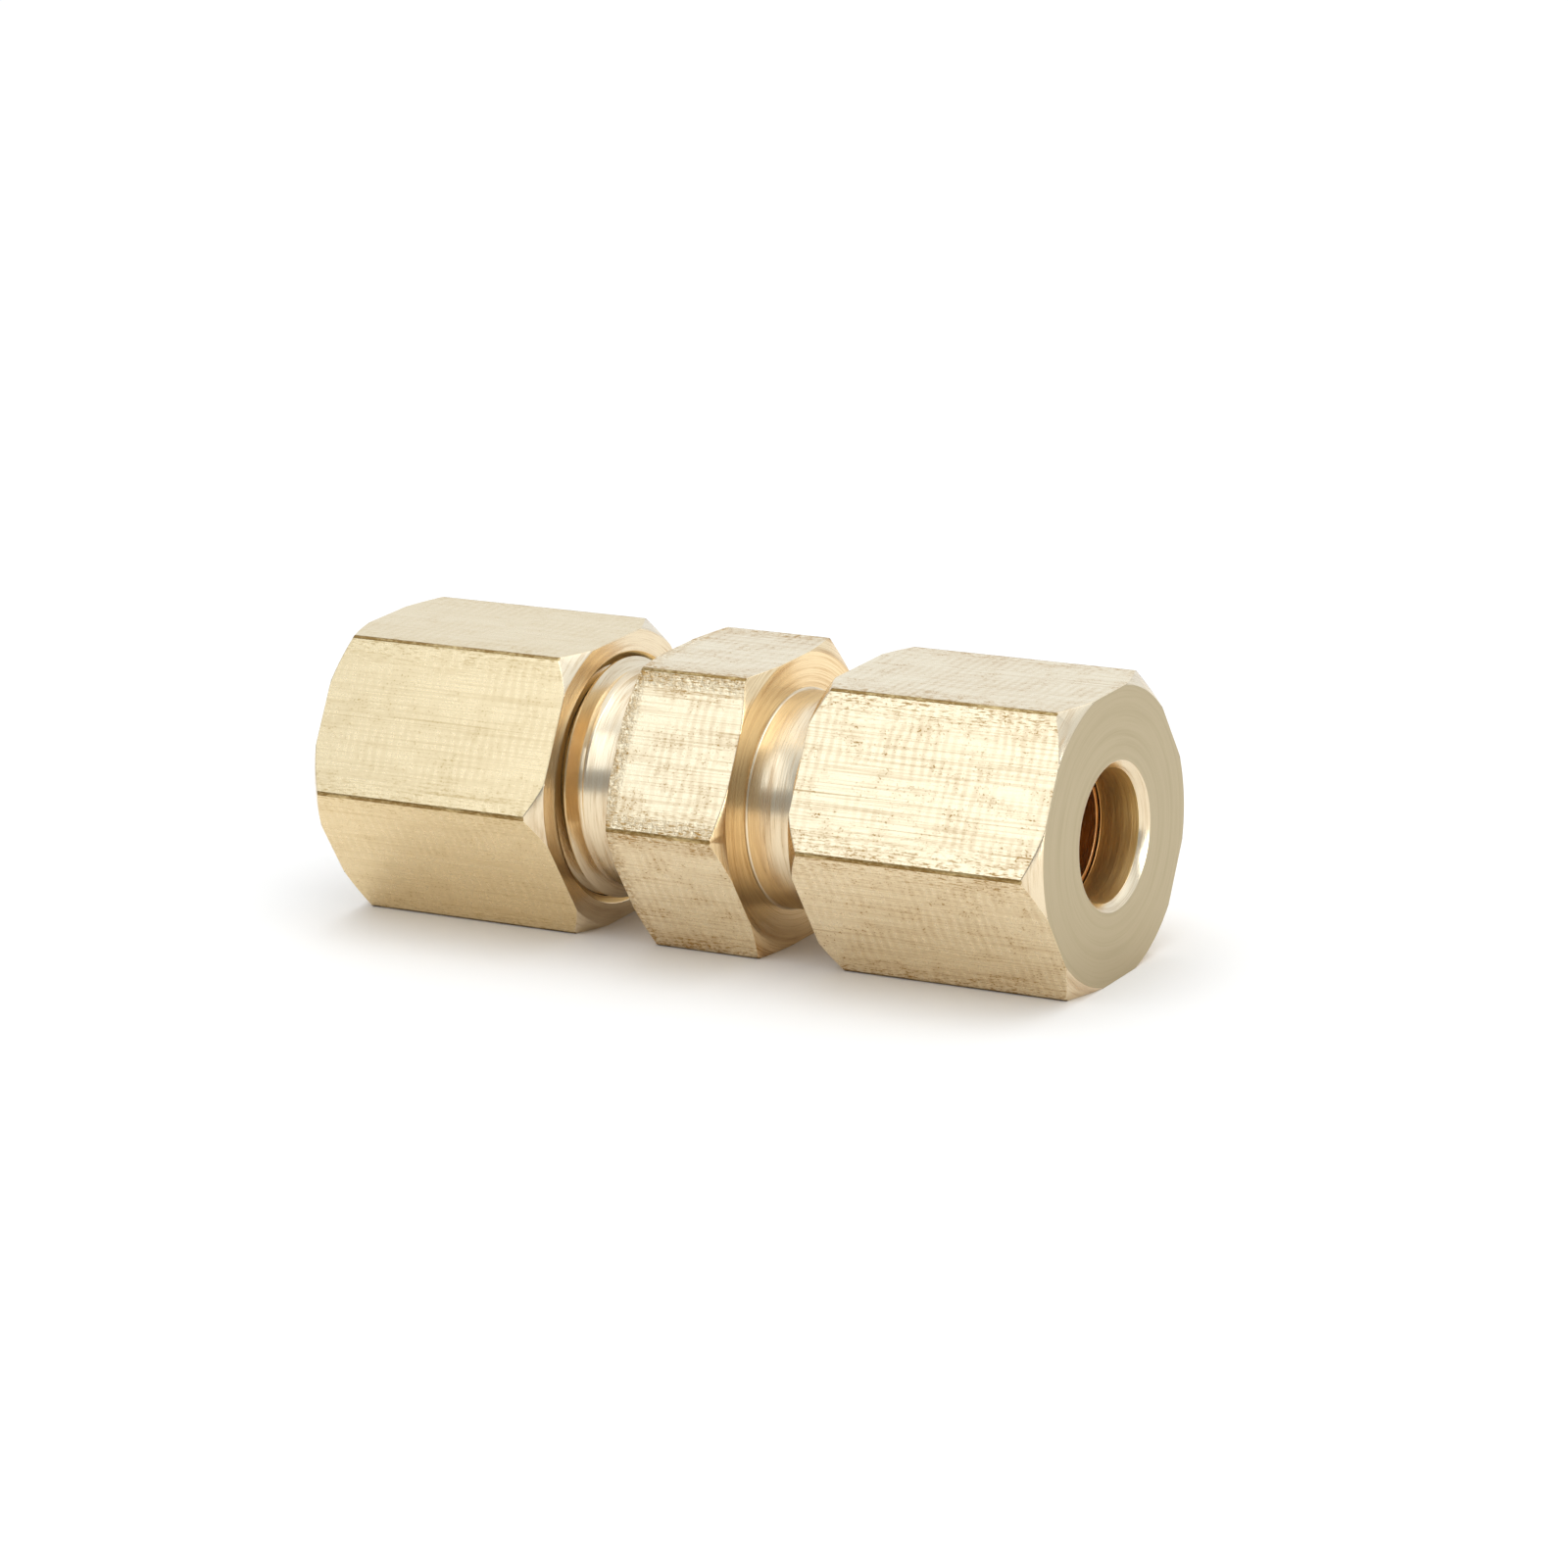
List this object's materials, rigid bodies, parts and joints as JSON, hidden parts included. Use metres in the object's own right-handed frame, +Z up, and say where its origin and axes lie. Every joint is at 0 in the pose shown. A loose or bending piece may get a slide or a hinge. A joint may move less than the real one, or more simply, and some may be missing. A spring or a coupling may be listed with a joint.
{
  "type": "compression union",
  "caption": "Straight brass tube coupling: hexagonal threaded body with a compression nut and a loose sealing ferrule on each end.",
  "frame": {"origin": "middle of the bore, halfway between the two nuts' tube ends", "axes": "+X along the tube towards the right nut, +Z up, with a flat of each hexagon level on top and underneath"},
  "size_m": [0.0406, 0.016, 0.014],
  "materials": {
    "body_brass": "drawn bar flats, turned neck, faces and thread",
    "nut_brass": "drawn bar flats, turned ends, bore and thread",
    "ferrule_brass": "smooth turned sleeve"
  },
  "bodies": {
    "body": {"union_body": "body_brass"},
    "right_ferrule": {"right_ferrule": "ferrule_brass"},
    "right_nut": {"right_nut": "nut_brass"},
    "left_ferrule": {"left_ferrule": "ferrule_brass"},
    "left_nut": {"left_nut": "nut_brass"}
  },
  "joints": [
    {"name": "right_travel", "type": "slide", "parent": "body", "child": "right_ferrule", "axis": [1, 0, 0], "range_m": [-0.00125, 0.00701]},
    {"name": "right_screw", "type": "hinge", "parent": "right_ferrule", "child": "right_nut", "pos_m": [0, 0, 0], "axis": [1, 0, 0], "range_deg": [-450, 2520]},
    {"name": "left_travel", "type": "slide", "parent": "body", "child": "left_ferrule", "axis": [-1, 0, 0], "range_m": [-0.00125, 0.00701]},
    {"name": "left_screw", "type": "hinge", "parent": "left_ferrule", "child": "left_nut", "pos_m": [0, 0, 0], "axis": [-1, 0, 0], "range_deg": [-450, 2520]}
  ],
  "couplings": [
    {"joint": "right_travel", "follows": "right_screw", "m_per_rad": 0.00015915},
    {"joint": "left_travel", "follows": "left_screw", "m_per_rad": 0.00015915}
  ]
}
